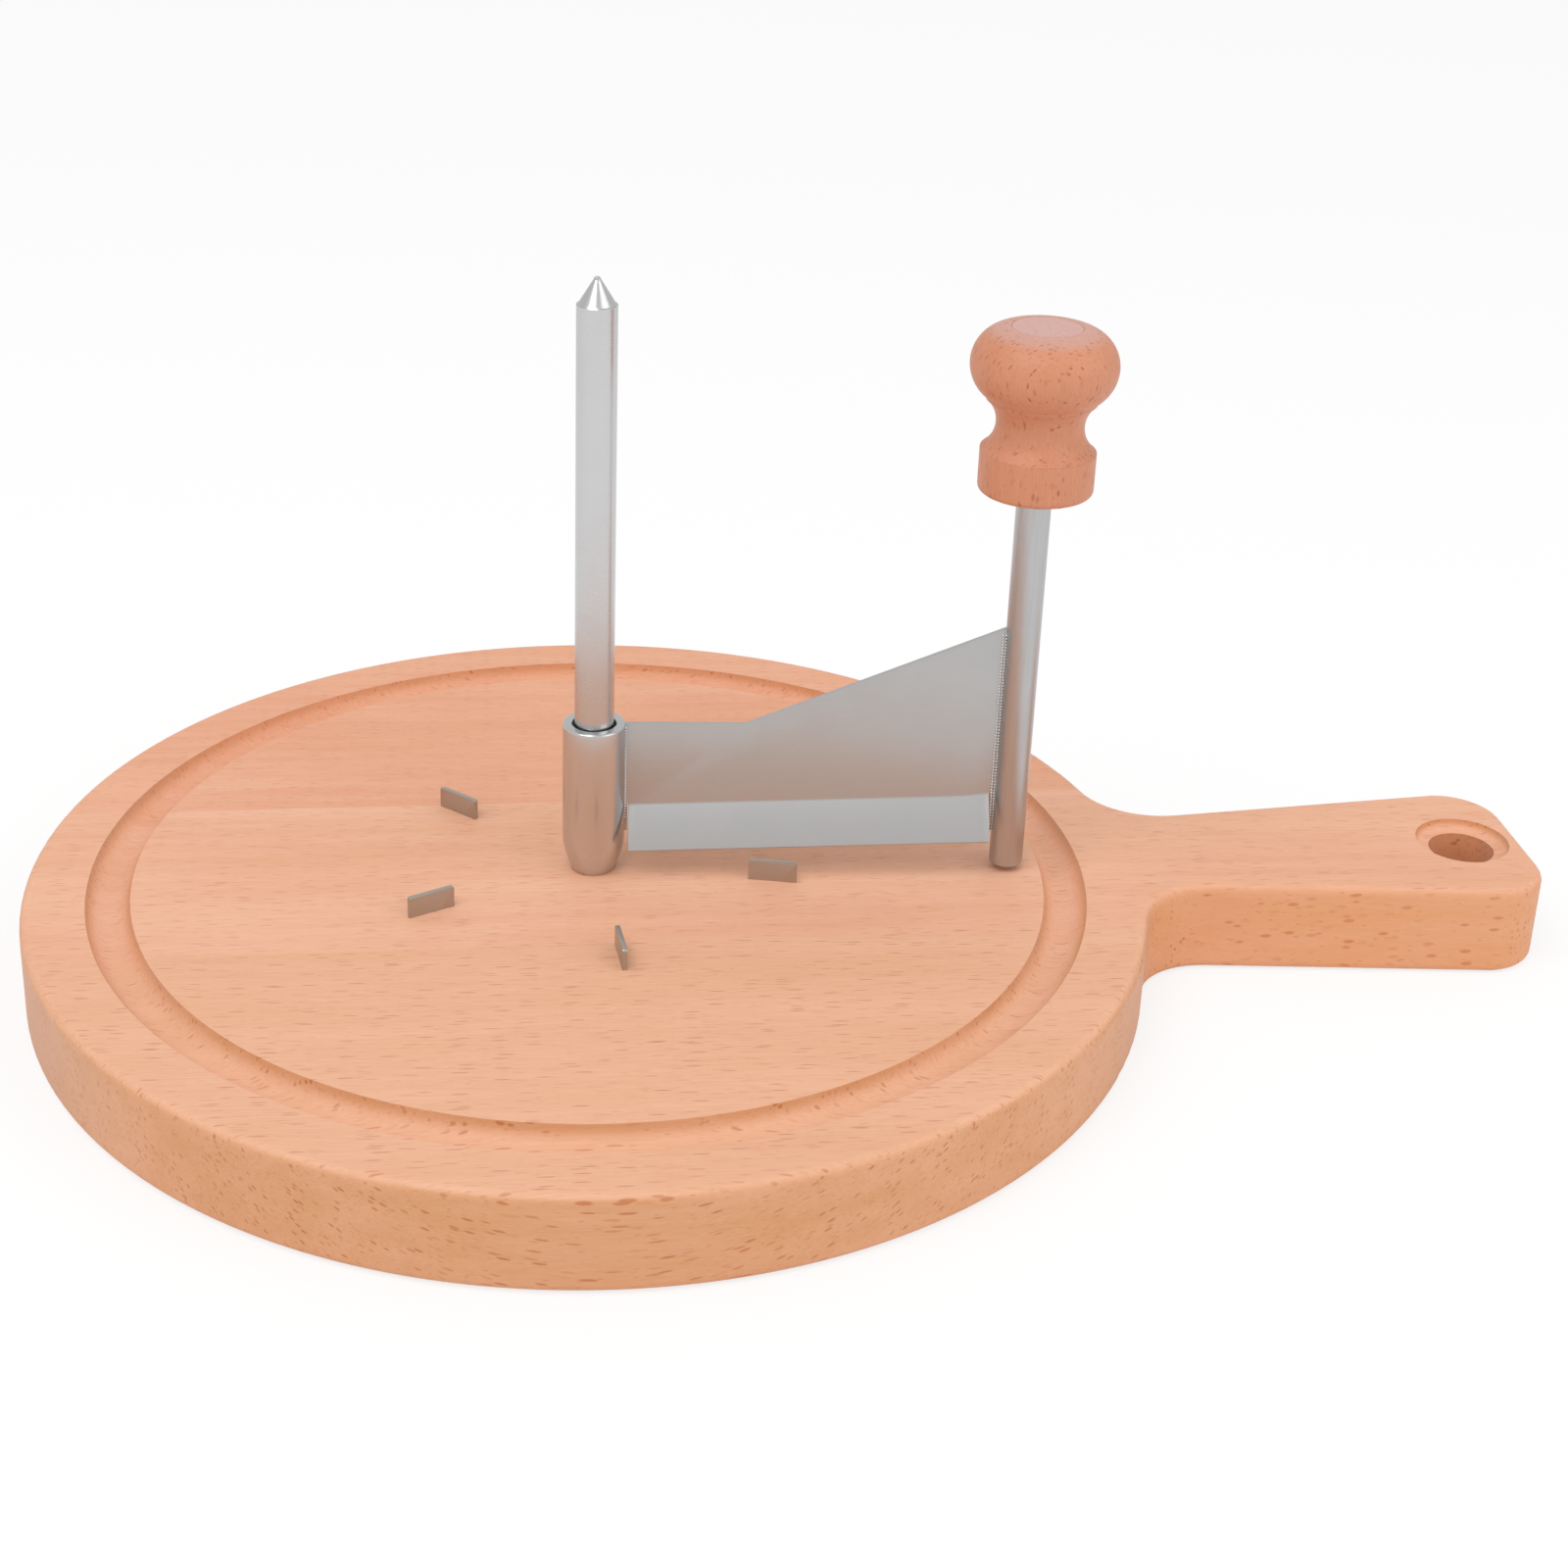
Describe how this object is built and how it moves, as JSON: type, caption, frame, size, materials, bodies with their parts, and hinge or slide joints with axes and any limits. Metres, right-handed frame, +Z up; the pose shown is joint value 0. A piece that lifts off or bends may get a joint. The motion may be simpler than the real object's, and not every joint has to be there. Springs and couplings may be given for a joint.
{
  "type": "rotary cheese cutter",
  "caption": "Round wooden board with a handle and an upright steel spindle; a blade with a knobbed crank turns on the spindle and shaves curls from a wheel of cheese.",
  "frame": {"origin": "on the spindle's axis, at the underside of the board", "axes": "+Z up along the spindle, +X along the board's handle"},
  "size_m": [0.317, 0.23, 0.1461],
  "materials": {
    "beech_board": "fine-sanded, lightly oiled beech",
    "beech_knob": "turned beech, sanded",
    "beech_end_grain": "sanded beech",
    "brushed_stainless": "satin",
    "blade_stainless": "rolled satin sheet",
    "weld_stainless": "pulsed weld bead",
    "liner_polymer": "moulded"
  },
  "bodies": {
    "stand": {"board_middle_stave": "beech_board", "board_rear_stave": "beech_board", "board_front_stave": "beech_board", "holding_plate_1": "brushed_stainless", "holding_plate_2": "brushed_stainless", "holding_plate_3": "brushed_stainless", "holding_plate_4": "brushed_stainless", "holding_plate_5": "brushed_stainless", "spindle": "brushed_stainless", "spindle_screw": "brushed_stainless", "spindle_washer": "brushed_stainless"},
    "liner": {"hub_liner": "liner_polymer"},
    "crank": {"hub_sleeve": "brushed_stainless", "blade": "blade_stainless", "hub_weld": "weld_stainless", "rod_weld": "weld_stainless", "crank_rod": "brushed_stainless", "knob_screw": "brushed_stainless", "knob_washer": "brushed_stainless"},
    "grip": {"knob": "beech_knob", "knob_plug": "beech_end_grain"}
  },
  "joints": [
    {"name": "crank_lift", "type": "slide", "parent": "stand", "child": "liner", "axis": [0, 0, 1], "range_m": [0, 0.13]},
    {"name": "crank_turn", "type": "hinge", "parent": "liner", "child": "crank", "pos_m": [0, 0, 0.0365], "axis": [0, 0, 1], "continuous": true},
    {"name": "knob_turn", "type": "hinge", "parent": "crank", "child": "grip", "pos_m": [0.08635, -0.00513, 0.12], "axis": [0, 0, 1], "continuous": true}
  ]
}
